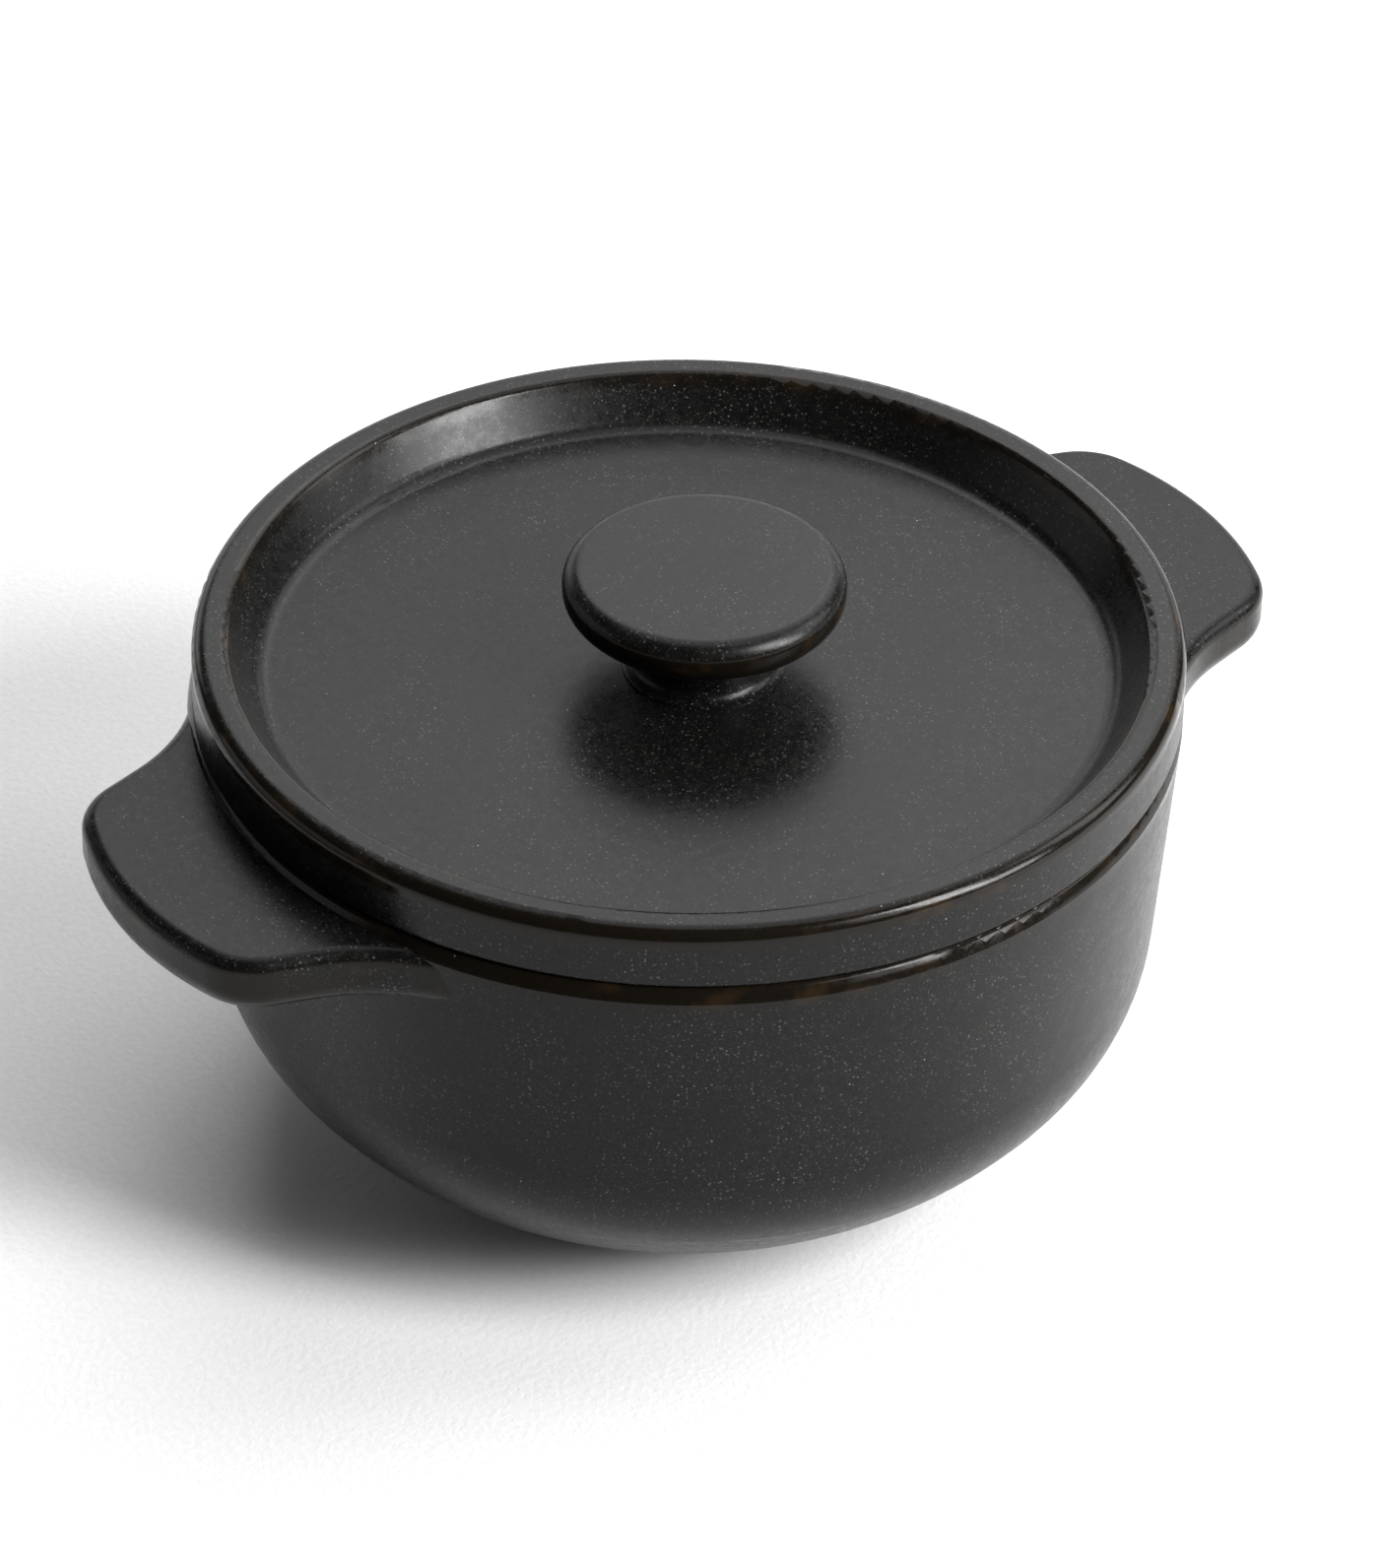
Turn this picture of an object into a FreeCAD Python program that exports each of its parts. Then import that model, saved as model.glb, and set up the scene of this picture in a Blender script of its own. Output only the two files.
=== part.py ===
import FreeCAD
import Part
import math
import os

# A lidded sugar bowl in millimetres. The table is at z = 0, the bowl's axis is
# the Z axis and the two handles point along -X and +X.

# Bowl, outside
rim_radius = 58.4          # widest radius of the bowl, just under its rim
rim_height = 58.5          # the flat land that the lid rests on
rim_edge_radius = 1.2      # tight rounding where the land turns over
rim_edge_turn = 50.0       # degrees turned by that rounding
rim_shoulder_radius = 3.4  # easier rounding from there into the side
wall_taper = 4.3           # degrees the side leans in on its way down
shoulder_height = 28.5     # where the straight side ends
shoulder_radius = 21.7     # first curve under the straight side
shoulder_turn = 31.6       # degrees turned by that first curve
belly_radius = 44.4        # second, easier curve that runs in to the foot

# Bowl, inside
wall = 3.4                 # thickness of the side
inside_belly_radius = 36.1 # the inner curve that runs in to the floor
mouth_edge_radius = 0.8    # rounding on the inner edge of the land

# Foot ring
foot_radius = 31.0
foot_width = 4.5
foot_edge_radius = 0.6
foot_hollow = 1.0          # depth of the hollow inside the ring

# Handles: flat tabs just under the rim
handle_length = 16.6       # how far the outermost point stands out from the rim
handle_drop = 1.1          # from the land down to the top of the handle
handle_thickness = 7.5
handle_half_width = 20.2   # half width across the two outer corners
handle_end_radius = 42.0   # easy curve of the outer end
handle_corner_radius = 9.0
handle_side_angle = 17.0   # degrees by which the sides spread towards the bowl
handle_root_radius = 24.0  # hollow curve where a side runs into the rim
handle_root_sink = 0.5     # how far inside the rim that hollow curve ends
handle_upper_edge_radius = 1.7
handle_lower_edge_radius = 3.2

# Lid
lid_setback = 0.4          # the lid's edge stands this far inside the rim's widest radius
lid_rise = 7.8             # height of the lid's rim above the land
lid_rim_width = 4.0        # from the outside to the inner top edge
lid_edge_radius = 1.8      # outer rounding of the rim
lid_inner_edge_radius = 1.3
lid_lower_edge_radius = 0.6
recess_depth = 5.6         # from the top of the rim to the edge of the sunk plate
recess_dome = 0.8          # how much higher the plate is at its centre
recess_draft = 35.0        # degrees the recess wall leans inwards
recess_corner_radius = 2.4
plug_depth = 2.8           # how far the lid reaches down into the bowl's mouth
plug_corner_radius = 1.0
seat_curve_radius = 0.6    # hollow curve between the plug and the seat
mouth_clearance = 1.0      # room around the plug inside the bowl's mouth
lid_offset_x = 0.6         # the lid lies slightly off the bowl's centre, within that room
lid_offset_y = 0.3

# Knob
knob_offset_x = 1.5        # the knob stands slightly off the lid's centre
knob_offset_y = -0.8
knob_bed = 0.3             # stock below the plate's crest, cut to the plate's curve
knob_radius = 16.6
knob_height = 13.9         # from the crest of the plate to the top of the disc
knob_thickness = 5.9
knob_dome = 0.4            # how much higher the disc is at its centre
knob_upper_radius = 2.3    # rounding of the upper edge
knob_lower_radius = 2.8    # rounding of the lower edge
knob_neck_radius = 3.0     # hollow curve under the disc
stem_radius = 8.1
stem_foot_radius = 1.5     # hollow curve on to the plate
stem_foot_edge = 0.15      # thickness left at the edge of that curve

# Sizes that follow from the ones above
mouth_radius = rim_radius - wall / math.cos(math.radians(wall_taper))
lid_radius = rim_radius - lid_setback
lid_top = rim_height + lid_rise
recess_floor = lid_top - recess_depth
plate_crest = recess_floor + recess_dome
handle_top = rim_height - handle_drop
knob_top = plate_crest + knob_height


class Path:
    """A chain of tangent lines and arcs in the XZ plane, drawn heading first."""

    def __init__(self, radius, height, heading):
        self.x = radius
        self.z = height
        self.heading = heading
        self.edges = []

    def point(self, x, z):
        return FreeCAD.Vector(x, 0.0, z)

    def line_to(self, x, z):
        self.edges.append(Part.makeLine(self.point(self.x, self.z), self.point(x, z)))
        self.heading = math.degrees(math.atan2(z - self.z, x - self.x))
        self.x = x
        self.z = z

    def forward(self, length):
        angle = math.radians(self.heading)
        self.line_to(self.x + length * math.cos(angle), self.z + length * math.sin(angle))

    def arc(self, radius, turn):
        """Turn left for a positive angle and right for a negative one."""
        side = math.copysign(90.0, turn)
        to_centre = math.radians(self.heading + side)
        cx = self.x + radius * math.cos(to_centre)
        cz = self.z + radius * math.sin(to_centre)
        points = [self.point(self.x, self.z)]
        for share in (0.5, 1.0):
            angle = to_centre + math.pi + math.radians(turn * share)
            points.append(self.point(cx + radius * math.cos(angle), cz + radius * math.sin(angle)))
        self.edges.append(Part.Arc(*points).toShape())
        self.x = points[-1].x
        self.z = points[-1].z
        self.heading += turn

    def dome(self, rise):
        """A shallow arc that climbs to the axis and meets it level."""
        radius = (self.x ** 2 + rise ** 2) / (2.0 * rise)
        turn = math.degrees(math.asin(self.x / radius))
        self.heading = 180.0 - turn
        self.arc(radius, turn)

    def spin(self, axis_x=0.0, axis_y=0.0):
        """Close the outline and turn it about an upright axis into a solid."""
        start = self.edges[0].Vertexes[0].Point
        end = FreeCAD.Vector(self.x, 0.0, self.z)
        if start.distanceToPoint(end) > 1e-6:
            self.edges.append(Part.makeLine(end, start))
        face = Part.Face(Part.Wire(self.edges))
        solid = face.revolve(FreeCAD.Vector(0, 0, 0), FreeCAD.Vector(0, 0, 1), 360)
        solid.translate(FreeCAD.Vector(axis_x, axis_y, 0))
        return solid


def side_path(inset, belly):
    """Half outline of the bowl's side from the rim down, set in by inset."""
    taper = math.radians(wall_taper)
    drop = rim_height - shoulder_height
    top_x = rim_radius - inset / math.cos(taper)
    path = Path(top_x, rim_height, -90.0 - wall_taper)
    path.line_to(top_x - drop * math.tan(taper), shoulder_height)
    path.arc(shoulder_radius - inset, -shoulder_turn)
    path.arc(belly, -(90.0 - wall_taper - shoulder_turn))
    path.line_to(0.0, path.z)
    path.line_to(0.0, rim_height)
    return path


def rim_ring():
    """The stock above and outside the rounded rim, to be cut away."""
    path = Path(rim_radius + 5.0, rim_height + 1.0, 180.0)
    edge_sine = math.sin(math.radians(rim_edge_turn))
    across = rim_edge_radius * edge_sine
    across += rim_shoulder_radius * (math.cos(math.radians(wall_taper)) - edge_sine)
    path.line_to(rim_radius - across, rim_height + 1.0)
    path.line_to(rim_radius - across, rim_height)
    path.heading = 0.0
    path.arc(rim_edge_radius, -rim_edge_turn)
    path.arc(rim_shoulder_radius, -(90.0 - rim_edge_turn - wall_taper))
    path.forward(0.4)
    path.line_to(rim_radius + 5.0, path.z)
    return path.spin()


def mouth_ring():
    """The small round on the inner edge of the land, to be cut away."""
    path = Path(mouth_radius - 0.5, rim_height + 1.0, -90.0)
    path.line_to(mouth_radius - 0.5, rim_height - mouth_edge_radius)
    path.line_to(mouth_radius, rim_height - mouth_edge_radius)
    path.heading = 90.0
    path.arc(mouth_edge_radius, -90.0)
    path.line_to(path.x, rim_height + 1.0)
    return path.spin()


def foot_ring():
    path = Path(foot_radius - foot_width, foot_hollow, -90.0)
    path.forward(foot_hollow - foot_edge_radius)
    path.arc(foot_edge_radius, 90.0)
    path.forward(foot_width - 2.0 * foot_edge_radius)
    path.arc(foot_edge_radius, 90.0)
    path.line_to(foot_radius, belly_radius / 8.0)
    path.line_to(foot_radius - foot_width, belly_radius / 8.0)
    return path.spin()


def make_bowl():
    outside = side_path(0.0, belly_radius).spin()
    hollow = side_path(wall, inside_belly_radius).spin()
    under = Part.makeCylinder(foot_radius - foot_width, foot_hollow + 5.0)
    under.translate(FreeCAD.Vector(0, 0, -5.0))
    body = outside.fuse(foot_ring())
    body = body.cut(under)
    body = body.cut(hollow)
    body = body.cut(rim_ring())
    return body.cut(mouth_ring()).removeSplitter()


def handle_outline():
    """Half plan of a handle for +X: corner arc centre, side tangent, root arc centre."""
    side = math.radians(180.0 - handle_side_angle)
    normal = FreeCAD.Vector(math.sin(side), -math.cos(side), 0)
    end_centre = FreeCAD.Vector(rim_radius + handle_length - handle_end_radius, 0, 0)
    corner_y = handle_half_width - handle_corner_radius
    reach = handle_end_radius - handle_corner_radius
    corner_x = end_centre.x + math.sqrt(reach ** 2 - corner_y ** 2)
    corner = FreeCAD.Vector(corner_x, corner_y, 0)
    end_tangent = corner + (corner - end_centre).normalize() * handle_corner_radius
    corner_tangent = corner + normal * handle_corner_radius
    far = rim_radius - handle_root_sink + handle_root_radius
    height = normal.dot(corner_tangent) + handle_root_radius
    angle = math.atan2(normal.y, normal.x) - math.acos(height / far)
    root = FreeCAD.Vector(far * math.cos(angle), far * math.sin(angle), 0)
    root_tangent = root - normal * handle_root_radius
    root_end = root * ((rim_radius - handle_root_sink) / far)
    return corner, end_tangent, corner_tangent, root, root_tangent, root_end


def arc_about(centre, start, end):
    """The short arc from start to end about a centre."""
    radius = centre.distanceToPoint(start)
    middle = (start + end) * 0.5 - centre
    return Part.Arc(start, centre + middle.normalize() * radius, end).toShape()


def mirror(point):
    return FreeCAD.Vector(point.x, -point.y, point.z)


def handle_face():
    corner, end_tangent, corner_tangent, root, root_tangent, root_end = handle_outline()
    tip = FreeCAD.Vector(rim_radius + handle_length, 0, 0)
    inner = FreeCAD.Vector(root_end.x - 12.0, root_end.y - 4.0, 0)
    edges = [Part.Arc(mirror(end_tangent), tip, end_tangent).toShape()]
    for flip in (lambda point: point, mirror):
        edges.append(arc_about(flip(corner), flip(end_tangent), flip(corner_tangent)))
        edges.append(Part.makeLine(flip(corner_tangent), flip(root_tangent)))
        edges.append(arc_about(flip(root), flip(root_tangent), flip(root_end)))
        edges.append(Part.makeLine(flip(root_end), flip(inner)))
    edges.append(Part.makeLine(inner, mirror(inner)))
    return Part.Face(Part.Wire(Part.__sortEdges__(edges)))


def outer_edges(tab, height):
    """The edges of the tab that lie flat at a height, less the one inside the bowl."""
    found = []
    for edge in tab.Edges:
        box = edge.BoundBox
        level = box.ZLength < 0.01 and abs(box.ZMin - height) < 0.01
        if level and box.XMax > rim_radius * 0.9:
            found.append(edge)
    return found


def make_handle(bowl_stock):
    """A tab with rounded edges that ends on the outside of the bowl."""
    face = handle_face()
    face.translate(FreeCAD.Vector(0, 0, handle_top - handle_thickness))
    tab = face.extrude(FreeCAD.Vector(0, 0, handle_thickness))
    tab = tab.makeFillet(handle_upper_edge_radius, outer_edges(tab, handle_top))
    underside = handle_top - handle_thickness
    tab = tab.makeFillet(handle_lower_edge_radius, outer_edges(tab, underside))
    return tab.cut(bowl_stock)


def make_lid():
    plug_radius = mouth_radius - mouth_clearance
    path = Path(0.0, rim_height - plug_depth, 0.0)
    path.line_to(plug_radius - plug_corner_radius, path.z)
    path.arc(plug_corner_radius, 90.0)
    path.line_to(plug_radius, rim_height - seat_curve_radius)
    path.arc(seat_curve_radius, -90.0)
    path.line_to(lid_radius - lid_lower_edge_radius, rim_height)
    path.arc(lid_lower_edge_radius, 90.0)
    path.line_to(lid_radius, lid_top - lid_edge_radius)
    path.arc(lid_edge_radius, 90.0)
    turn = 90.0 - recess_draft
    shift = lid_inner_edge_radius * math.tan(math.radians(turn / 2.0))
    path.line_to(lid_radius - lid_rim_width + shift, lid_top)
    path.arc(lid_inner_edge_radius, turn)
    plate_radius = lid_radius - lid_rim_width
    plate_radius -= recess_depth * math.tan(math.radians(recess_draft))
    plate_radius -= recess_corner_radius * math.tan(math.radians(turn / 2.0))
    climb = 2.0 * math.degrees(recess_dome / plate_radius)
    drop = math.cos(math.radians(climb)) - math.sin(math.radians(recess_draft))
    fall = path.z - recess_floor - recess_corner_radius * drop
    path.forward(fall / math.cos(math.radians(recess_draft)))
    path.arc(recess_corner_radius, -turn - climb)
    path.dome(recess_dome)
    return path.spin(lid_offset_x, lid_offset_y)


def make_knob(lid):
    """A disc on a round stem whose foot is cut to the curve of the lid's plate."""
    underside = knob_top - knob_thickness
    path = Path(0.0, plate_crest - knob_bed, 0.0)
    path.line_to(stem_radius + stem_foot_radius, path.z)
    path.line_to(path.x, plate_crest + stem_foot_edge)
    path.heading = 180.0
    path.arc(stem_foot_radius, -90.0)
    path.line_to(stem_radius, underside - knob_neck_radius)
    path.arc(knob_neck_radius, -90.0)
    path.line_to(knob_radius - knob_lower_radius, underside)
    path.arc(knob_lower_radius, 90.0)
    flat_radius = knob_radius - knob_upper_radius
    climb = 2.0 * math.degrees(knob_dome / flat_radius)
    drop = knob_upper_radius * math.cos(math.radians(climb))
    path.line_to(knob_radius, knob_top - knob_dome - drop)
    path.arc(knob_upper_radius, 90.0 - climb)
    path.dome(knob_dome)
    return path.spin(lid_offset_x + knob_offset_x, lid_offset_y + knob_offset_y).cut(lid)


def main():
    os.makedirs("parts", exist_ok=True)
    bowl = make_bowl()
    lid = make_lid()
    stock = side_path(0.0, belly_radius).spin().cut(rim_ring())
    handle = make_handle(stock)
    turned = handle.copy()
    turned.rotate(FreeCAD.Vector(0, 0, 0), FreeCAD.Vector(0, 0, 1), 180)
    parts = {
        "bowl": bowl,
        "handle_right": handle,
        "handle_left": turned,
        "lid": lid,
        "knob": make_knob(lid),
    }
    for node, shape in parts.items():
        solid = shape.Solids[0]
        solid.exportStep("parts/" + node + ".step")


main()
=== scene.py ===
"""Sugar bowl in satin charcoal glaze: glazes, floor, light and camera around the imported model.

Lengths in the glazes are millimetres, everything else is metres.
"""

import math

import bpy
from mathutils import Matrix, Vector


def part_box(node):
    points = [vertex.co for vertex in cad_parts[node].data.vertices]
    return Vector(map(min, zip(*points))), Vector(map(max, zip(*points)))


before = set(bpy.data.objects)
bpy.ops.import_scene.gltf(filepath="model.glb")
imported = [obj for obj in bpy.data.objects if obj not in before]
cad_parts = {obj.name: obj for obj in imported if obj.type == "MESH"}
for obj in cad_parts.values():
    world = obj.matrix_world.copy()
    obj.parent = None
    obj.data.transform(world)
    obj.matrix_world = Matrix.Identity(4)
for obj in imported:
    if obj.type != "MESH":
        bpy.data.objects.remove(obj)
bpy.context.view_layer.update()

MM = 1000.0
FLOOR_SIDE = 6.0

# Glaze colours, linear: the dark ground and its paler clouds, flecks, the brown where the
# glaze is thin and thinner still, bare clay and dust.
CHARCOAL = (0.0036, 0.0035, 0.0034, 1.0)
ASH = (0.0056, 0.0054, 0.0051, 1.0)
FLECK = (0.090, 0.088, 0.083, 1.0)
THIN = (0.0060, 0.0046, 0.0031, 1.0)
HONEY = (0.016, 0.0100, 0.0050, 1.0)
CLAY = (0.21, 0.145, 0.095, 1.0)
DUST = (0.55, 0.55, 0.53, 1.0)
PAPER_DULL = (0.87, 0.87, 0.87, 1.0)
PAPER_PALE = (0.91, 0.91, 0.91, 1.0)

# How strongly each glaze mirrors, and its range of roughness.
BOWL_IOR = 1.265
LID_IOR = 1.29
KNOB_IOR = 1.30
SATIN = (0.27, 0.36)
EDGE_GLOSS = 0.15
CLAY_ROUGHNESS = 0.85
PAPER_ROUGHNESS = 0.85
PAPER_IOR = 1.3

# Relief, in mm.
RIPPLE_DEPTH = 0.045
PORE_DEPTH = 0.006
TOOTH_DEPTH = 0.08

# Where the glaze runs thin, in mm: heights are measured down from the top of the node, except
# on the handles' sides, where the first is measured up from their underside.
BOWL_RIM_HEIGHTS = (3.6, 1.2)
BOWL_RIM_RADII = (55.5, 56.5)
LID_RIM_HEIGHTS = (2.2, 0.35)
LID_RIM_RADII = (56.2, 57.0)
LID_INNER_RADII = (53.2, 54.2)
LID_INNER_HEIGHTS = (2.0, 0.8)
LID_INNER_SHARE = 0.7
KNOB_EDGE_HEIGHTS = (5.0, 2.3)
KNOB_EDGE_RADII = (12.5, 14.5)
HANDLE_EDGE_HEIGHTS = (0.6, 1.4)

# The foot ring's bare clay, in mm: inner and outer radius, and where the glaze begins.
FOOT_RING = (25.5, 31.5)
FOOT_GLAZE_LINE = (0.25, 0.5)


class Net:
    """A material and the few node shapes that the glazes are made of."""

    def __init__(self, name):
        self.material = bpy.data.materials.new(name)
        self.material.use_nodes = True
        self.tree = self.material.node_tree
        self.tree.nodes.clear()
        self.place = self.scaled(self.add("ShaderNodeTexCoord").outputs["Object"], MM)

    def add(self, kind, **settings):
        node = self.tree.nodes.new(kind)
        for name, value in settings.items():
            setattr(node, name, value)
        return node

    def feed(self, socket, value):
        if isinstance(value, bpy.types.NodeSocket):
            self.tree.links.new(value, socket)
        else:
            socket.default_value = value

    def scaled(self, vector, factor):
        node = self.add("ShaderNodeVectorMath", operation="SCALE")
        self.feed(node.inputs[0], vector)
        node.inputs["Scale"].default_value = factor
        return node.outputs[0]

    def vector(self, operation, a, b):
        node = self.add("ShaderNodeVectorMath", operation=operation)
        self.feed(node.inputs[0], a)
        self.feed(node.inputs[1], b)
        return node.outputs["Value" if operation == "LENGTH" else "Vector"]

    def math(self, operation, a, b=0.0):
        node = self.add("ShaderNodeMath", operation=operation)
        self.feed(node.inputs[0], a)
        self.feed(node.inputs[1], b)
        return node.outputs[0]

    def ramp(self, value, low, high, start=0.0, end=1.0):
        """Runs smoothly from start at low to end at high."""
        node = self.add("ShaderNodeMapRange", interpolation_type="SMOOTHSTEP")
        for socket, number in zip(node.inputs, (value, low, high, start, end)):
            self.feed(socket, number)
        return node.outputs[0]

    def band(self, value, low, high, soft):
        """One between low and high, falling to nothing over soft on each side."""
        rise = self.ramp(value, low - soft, low)
        fall = self.ramp(value, high, high + soft, 1.0, 0.0)
        return self.math("MULTIPLY", rise, fall)

    def noise(self, per_mm, detail, roughness=0.5):
        node = self.add("ShaderNodeTexNoise")
        self.feed(node.inputs["Vector"], self.place)
        node.inputs["Scale"].default_value = per_mm
        node.inputs["Detail"].default_value = detail
        node.inputs["Roughness"].default_value = roughness
        return node.outputs["Fac"]

    def specks(self, per_mm, size, share):
        """Small round specks: size is their radius in cells, share the part of cells with one."""
        cell = self.add("ShaderNodeTexVoronoi")
        self.feed(cell.inputs["Vector"], self.place)
        cell.inputs["Scale"].default_value = per_mm
        near = self.ramp(cell.outputs["Distance"], size * 0.5, size, 1.0, 0.0)
        split = self.add("ShaderNodeSeparateColor")
        self.feed(split.inputs[0], cell.outputs["Color"])
        chosen = self.math("GREATER_THAN", split.outputs[0], 1.0 - share)
        return self.math("MULTIPLY", near, chosen)

    def mix(self, amount, a, b):
        node = self.add("ShaderNodeMix", data_type="RGBA")
        self.feed(node.inputs[0], amount)
        self.feed(node.inputs[6], a)
        self.feed(node.inputs[7], b)
        return node.outputs[2]

    def bump(self, height, depth, normal=None):
        """height from 0 to 1 stands for depth millimetres."""
        node = self.add("ShaderNodeBump")
        node.inputs["Strength"].default_value = 1.0
        node.inputs["Distance"].default_value = depth / MM
        self.feed(node.inputs["Height"], height)
        if normal is not None:
            self.feed(node.inputs["Normal"], normal)
        return node.outputs[0]


def around(net, node):
    """Distance from the upright axis of a round node, and height, in mm, with a slight waver."""
    low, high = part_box(node)
    middle = (low + high) * (0.5 * MM)
    offset = net.vector("SUBTRACT", net.place, (middle.x, middle.y, 0.0))
    flat = net.vector("MULTIPLY", offset, (1.0, 1.0, 0.0))
    radius = net.vector("LENGTH", flat, (0.0, 0.0, 0.0))
    height = net.add("ShaderNodeSeparateXYZ")
    net.feed(height.inputs[0], net.place)
    waver = net.ramp(net.noise(0.10, 1.0), 0.25, 0.75, -0.3, 0.3)
    return net.math("ADD", radius, waver), net.math("ADD", height.outputs[2], waver)


def rim_of_bowl(net):
    """The rounding on the outside of the bowl's rim."""
    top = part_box("bowl")[1].z * MM
    radius, height = around(net, "bowl")
    low, high = BOWL_RIM_HEIGHTS
    edge = net.ramp(height, top - low, top - high)
    outside = net.ramp(radius, *BOWL_RIM_RADII)
    return net.math("MULTIPLY", edge, outside)


def rims_of_lid(net):
    """The outer rounding of the lid's rim and, more weakly, its inner edge."""
    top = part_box("lid")[1].z * MM
    radius, height = around(net, "lid")
    low, high = LID_RIM_HEIGHTS
    rounding = net.band(height, top - low, top - high, 0.7)
    outer = net.math("MULTIPLY", rounding, net.ramp(radius, *LID_RIM_RADII))
    low, high = LID_INNER_HEIGHTS
    upper = net.ramp(height, top - low, top - high)
    inner = net.math("MULTIPLY", net.band(radius, *LID_INNER_RADII, 0.7), upper)
    return net.math("MAXIMUM", outer, net.math("MULTIPLY", inner, LID_INNER_SHARE))


def edge_of_knob(net):
    """The knob's widest edge and the rounding below it."""
    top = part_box("knob")[1].z * MM
    radius, height = around(net, "knob")
    low, high = KNOB_EDGE_HEIGHTS
    rounding = net.band(height, top - low, top - high, 0.9)
    return net.math("MULTIPLY", rounding, net.ramp(radius, *KNOB_EDGE_RADII))


def edge_of_handle(net):
    """The sides of the handles, in patches."""
    low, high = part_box("handle_right")
    height = net.add("ShaderNodeSeparateXYZ")
    net.feed(height.inputs[0], net.place)
    above, below = HANDLE_EDGE_HEIGHTS
    side = net.band(height.outputs[2], low.z * MM + above, high.z * MM - below, 0.8)
    waver = net.ramp(net.noise(0.12, 3.0), 0.35, 0.65)
    return net.math("MULTIPLY", side, waver)


def flecks(net, grain):
    """Pale flecks, thicker in some patches than in others."""
    patches = net.noise(0.085, 4.0, 0.6)
    spots = net.math("MAXIMUM", net.specks(1.7, 0.26, 0.4), net.ramp(grain, 0.58, 0.78))
    return net.math("MULTIPLY", spots, net.ramp(patches, 0.35, 0.62, 0.30, 1.0))


def foot_ring(net):
    """The underside of the foot ring, which is left unglazed."""
    height = net.add("ShaderNodeSeparateXYZ")
    net.feed(height.inputs[0], net.place)
    radius = around(net, "bowl")[0]
    return net.math(
        "MULTIPLY",
        net.ramp(height.outputs[2], *FOOT_GLAZE_LINE, 1.0, 0.0),
        net.band(radius, *FOOT_RING, 0.4),
    )


def glaze(name, thin_edges, ior, bare_foot=False):
    """Satin charcoal glaze: pale flecks in patches, brown where it breaks thin over edges."""
    net = Net(name)
    grain = net.noise(3.4, 2.0, 0.65)
    cloud = net.noise(0.8, 3.0, 0.6)
    edge = thin_edges(net)

    colour = net.mix(net.ramp(cloud, 0.3, 0.7), CHARCOAL, ASH)
    colour = net.mix(flecks(net, grain), colour, FLECK)
    streaks = net.noise(0.22, 2.0, 0.5)
    brown = net.mix(net.ramp(streaks, 0.52, 0.72), THIN, HONEY)
    colour = net.mix(edge, colour, brown)
    dust = net.specks(0.55, 0.055, 0.10)
    colour = net.mix(net.math("MULTIPLY", dust, 0.7), colour, DUST)

    roughness = net.ramp(cloud, 0.25, 0.75, *SATIN)
    roughness = net.math("ADD", roughness, net.ramp(grain, 0.3, 0.7, -0.04, 0.04))
    gloss = net.math("MULTIPLY", edge, EDGE_GLOSS)
    roughness = net.math("SUBTRACT", roughness, gloss)

    if bare_foot:
        foot = foot_ring(net)
        colour = net.mix(foot, colour, CLAY)
        clay = net.math("MULTIPLY", foot, CLAY_ROUGHNESS)
        roughness = net.math("MAXIMUM", roughness, clay)

    surface = net.add("ShaderNodeBsdfPrincipled")
    net.feed(surface.inputs["Base Color"], colour)
    net.feed(surface.inputs["Roughness"], roughness)
    surface.inputs["IOR"].default_value = ior
    ripple = net.bump(net.noise(0.22, 1.0, 0.4), RIPPLE_DEPTH)
    net.feed(surface.inputs["Normal"], net.bump(grain, PORE_DEPTH, ripple))
    out = net.add("ShaderNodeOutputMaterial")
    net.feed(out.inputs["Surface"], surface.outputs[0])
    return net.material


def paper():
    """Pale sweep of slightly toothed paper."""
    net = Net("pale_floor")
    fibre = net.noise(1.1, 3.0, 0.6)
    colour = net.mix(net.ramp(fibre, 0.3, 0.7), PAPER_DULL, PAPER_PALE)
    surface = net.add("ShaderNodeBsdfPrincipled")
    net.feed(surface.inputs["Base Color"], colour)
    surface.inputs["Roughness"].default_value = PAPER_ROUGHNESS
    surface.inputs["IOR"].default_value = PAPER_IOR
    net.feed(surface.inputs["Normal"], net.bump(fibre, TOOTH_DEPTH))
    out = net.add("ShaderNodeOutputMaterial")
    net.feed(out.inputs["Surface"], surface.outputs[0])
    return net.material


def dress(node, material):
    """Puts a material in every slot of a CAD node, whose mesh stays as it is."""
    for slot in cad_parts[node].material_slots:
        slot.material = material


dress("bowl", glaze("bowl_glaze_satin", rim_of_bowl, BOWL_IOR, bare_foot=True))
handle_material = glaze("handle_glaze_satin", edge_of_handle, BOWL_IOR)
dress("handle_left", handle_material)
dress("handle_right", handle_material)
dress("lid", glaze("lid_glaze_satin", rims_of_lid, LID_IOR))
dress("knob", glaze("knob_glaze_satin", edge_of_knob, KNOB_IOR))


def make_floor():
    half = FLOOR_SIDE / 2.0
    mesh = bpy.data.meshes.new("floor")
    corners = [(-half, -half, 0), (half, -half, 0), (half, half, 0), (-half, half, 0)]
    mesh.from_pydata(corners, [], [(0, 1, 2, 3)])
    mesh.materials.append(paper())
    floor = bpy.data.objects.new("floor", mesh)
    bpy.context.scene.collection.objects.link(floor)


make_floor()

# Where the camera stands: degrees from the front towards the left, and above the table.
CAMERA_SIDE = math.radians(32.64)
CAMERA_RISE = math.radians(36.65)
CAMERA_ROLL = math.radians(0.87)
CAMERA_DISTANCE = 0.9315
CAMERA_TARGET = Vector((0.00084, 0.00014, 0.0438))
CAMERA_LENS = 180.9
CAMERA_SENSOR = 36.0

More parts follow.
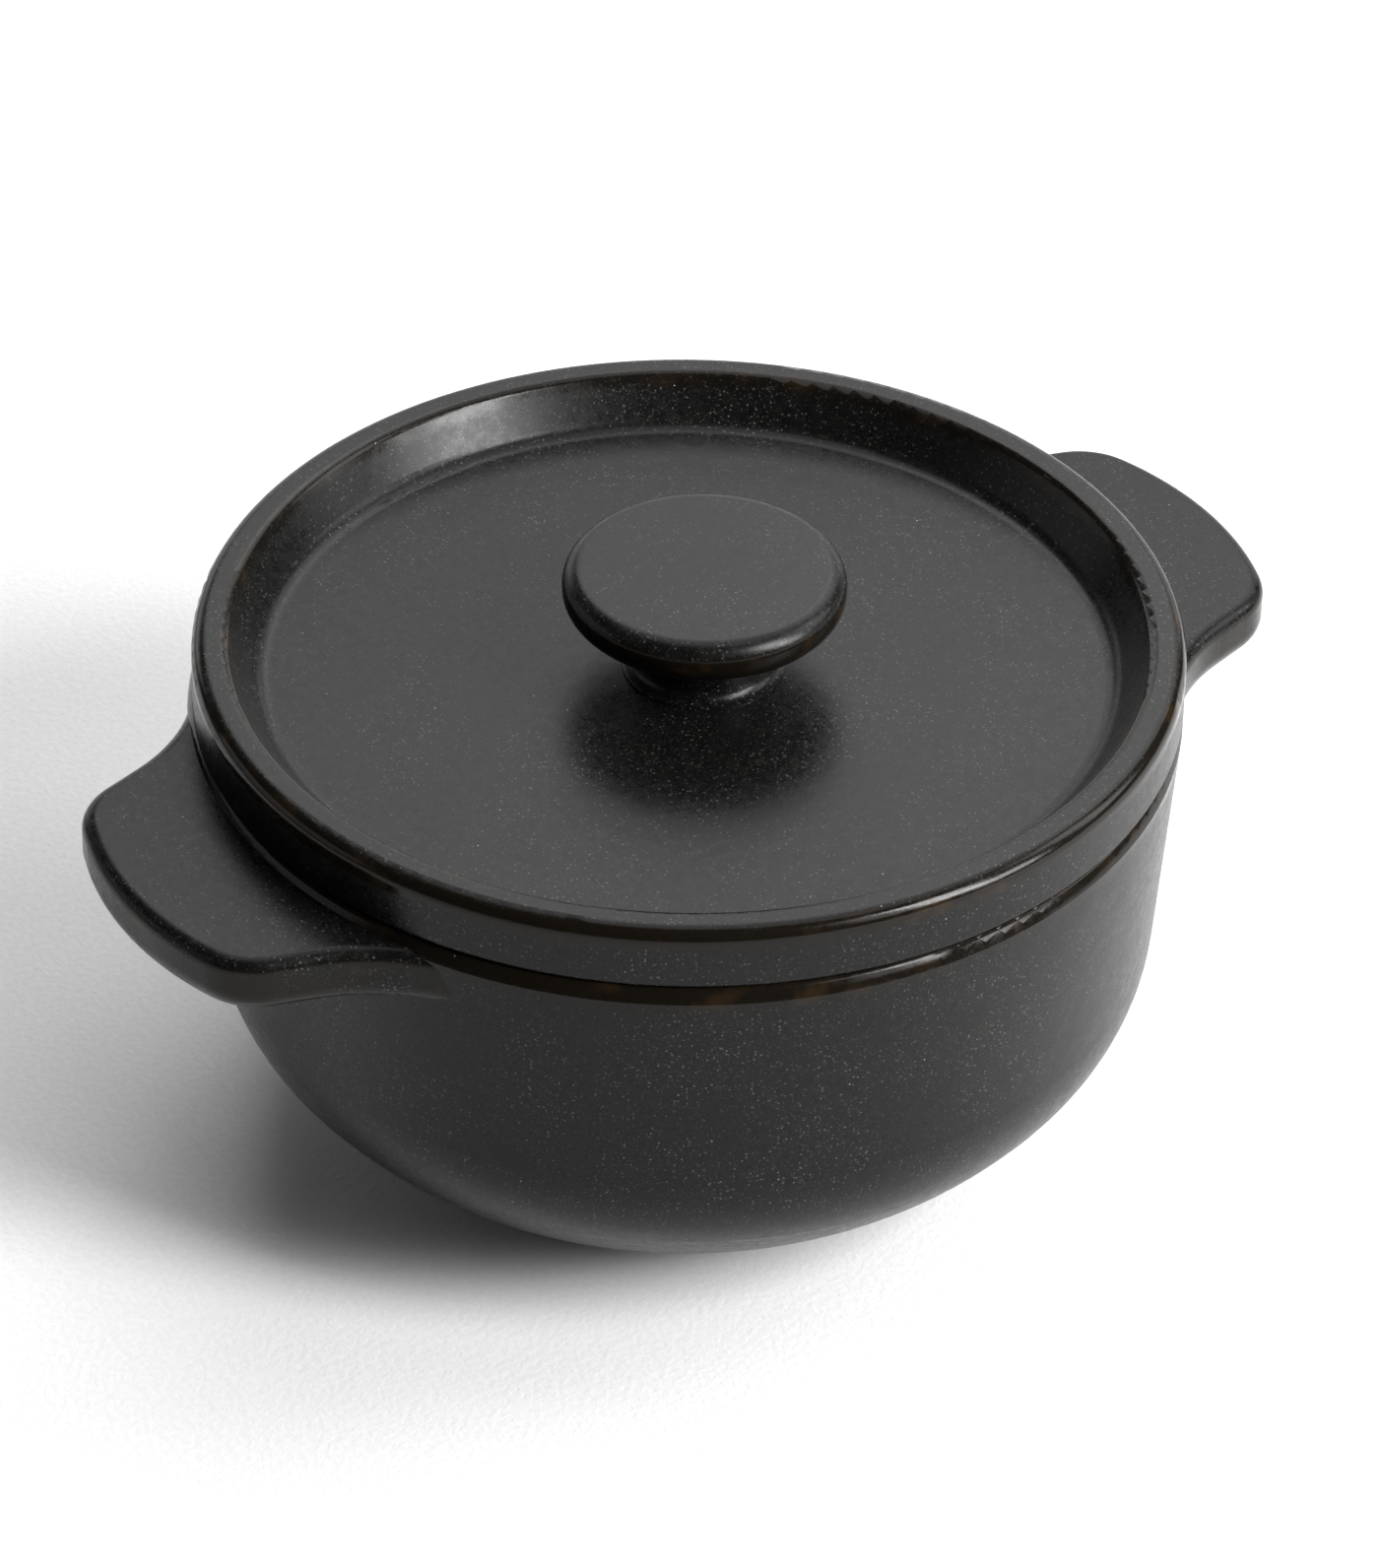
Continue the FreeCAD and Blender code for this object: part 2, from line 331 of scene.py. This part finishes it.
# Soft lights: name, degrees to the camera's right, degrees up, distance, width, height, watts.
LIGHT_AIM = Vector((0.0, 0.0, 0.04))
LIGHTS = [
    ("key", 60.0, 36.0, 1.0, 0.25, 0.5, 11.0),
    ("key_low", 70.0, 20.0, 1.0, 0.3, 0.3, 5.0),
    ("key_edge", 45.0, 36.0, 1.0, 0.25, 0.5, 1.3),
    ("side", 102.0, 34.0, 1.0, 0.3, 0.6, 2.8),
    ("top", 165.0, 68.0, 1.0, 0.9, 0.9, 4.3),
    ("back", 182.0, 40.0, 0.9, 0.5, 0.45, 1.6),
    ("back_side", 150.0, 40.0, 0.9, 0.5, 0.45, 1.6),
    ("horizon", 185.0, 12.0, 1.4, 2.4, 0.5, 5.5),
    ("left", 265.0, 14.0, 1.4, 1.2, 0.5, 1.2),
]
WORLD_STRENGTH = 0.03


def toward(side, rise):
    """Unit vector to a place side degrees round from the camera to its right, rise degrees up."""
    turn = math.radians(side) - CAMERA_SIDE
    lift = math.radians(rise)
    across = math.cos(lift)
    return Vector(
        (across * math.sin(turn), -across * math.cos(turn), math.sin(lift))
    )


def make_camera():
    back = toward(0.0, math.degrees(CAMERA_RISE))
    right = Vector((math.cos(CAMERA_SIDE), -math.sin(CAMERA_SIDE), 0.0))
    up = back.cross(right)
    cos, sin = math.cos(CAMERA_ROLL), math.sin(CAMERA_ROLL)
    columns = Matrix((cos * right + sin * up, cos * up - sin * right, back))
    data = bpy.data.cameras.new("camera")
    data.sensor_fit = "VERTICAL"
    data.sensor_height = CAMERA_SENSOR
    data.lens = CAMERA_LENS
    data.clip_start = 0.05
    data.clip_end = 20.0
    camera = bpy.data.objects.new("camera", data)
    camera.matrix_world = Matrix.Translation(
        CAMERA_TARGET + back * CAMERA_DISTANCE
    ) @ columns.transposed().to_4x4()
    bpy.context.scene.collection.objects.link(camera)
    bpy.context.scene.camera = camera


def softbox(name, side, rise, distance, width, height, watts):
    """A soft rectangular light aimed at the middle of the bowl."""
    aim = toward(side, rise)
    data = bpy.data.lights.new(name, "AREA")
    data.shape = "RECTANGLE"
    data.size = width
    data.size_y = height
    data.energy = watts
    light = bpy.data.objects.new(name, data)
    light.location = LIGHT_AIM + aim * distance
    light.rotation_euler = aim.to_track_quat("Z", "Y").to_euler()
    bpy.context.scene.collection.objects.link(light)


make_camera()
for light in LIGHTS:
    softbox(*light)

world = bpy.data.worlds.new("studio")
world.use_nodes = True
world.node_tree.nodes["Background"].inputs["Color"].default_value = (1.0, 1.0, 1.0, 1.0)
world.node_tree.nodes["Background"].inputs["Strength"].default_value = WORLD_STRENGTH
bpy.context.scene.world = world
bpy.context.scene.view_settings.view_transform = "Standard"
